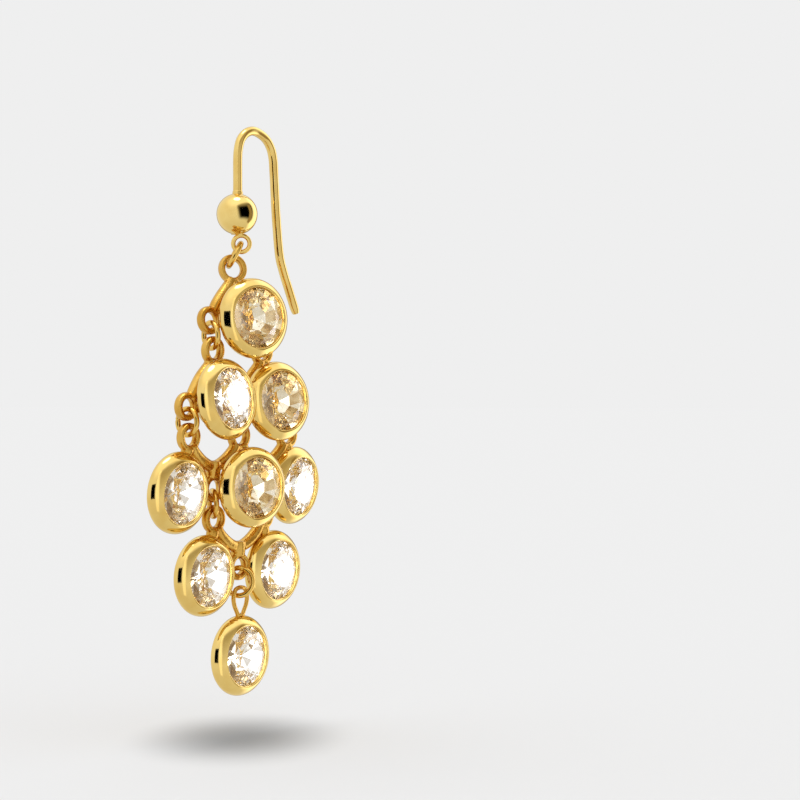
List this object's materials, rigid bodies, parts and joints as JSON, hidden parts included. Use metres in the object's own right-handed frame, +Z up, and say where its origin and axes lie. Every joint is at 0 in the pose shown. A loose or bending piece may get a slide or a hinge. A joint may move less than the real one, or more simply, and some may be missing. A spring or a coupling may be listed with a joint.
{
  "type": "chandelier earring",
  "caption": "Chandelier drop earring: hook wire with a ball, and a diamond of round faceted stones in bezels on linked metal frames.",
  "frame": {"origin": "inside the crest of the hook wire, where the earring hangs", "axes": "+Z up, stones face -Y, the hook's tail points towards +X"},
  "size_m": [0.024, 0.0059, 0.0553],
  "materials": {
    "polished_gold": "polished",
    "cast_gold": "satin",
    "clear_stone": "polished"
  },
  "bodies": {
    "hook": {"ear_hook": "polished_gold"},
    "drop": {"top_link": "polished_gold", "row_1": "cast_gold", "row_2": "cast_gold", "row_3": "cast_gold", "row_4": "cast_gold", "row_5": "cast_gold", "link_1a": "polished_gold", "link_1b": "polished_gold", "link_2a": "polished_gold", "link_2b": "polished_gold", "link_2c": "polished_gold", "link_3a": "polished_gold", "link_3b": "polished_gold", "link_4a": "polished_gold", "stone_1": "clear_stone", "stone_2a": "clear_stone", "stone_2b": "clear_stone", "stone_3a": "clear_stone", "stone_3b": "clear_stone", "stone_3c": "clear_stone", "stone_4a": "clear_stone", "stone_4b": "clear_stone", "stone_5": "clear_stone"}
  },
  "joints": [
    {"name": "drop_swing", "type": "hinge", "parent": "hook", "child": "drop", "pos_m": [-0.002, -0.00036, -0.01149], "axis": [0.7071, -0.7071, 0], "range_deg": [-30, 30]}
  ]
}
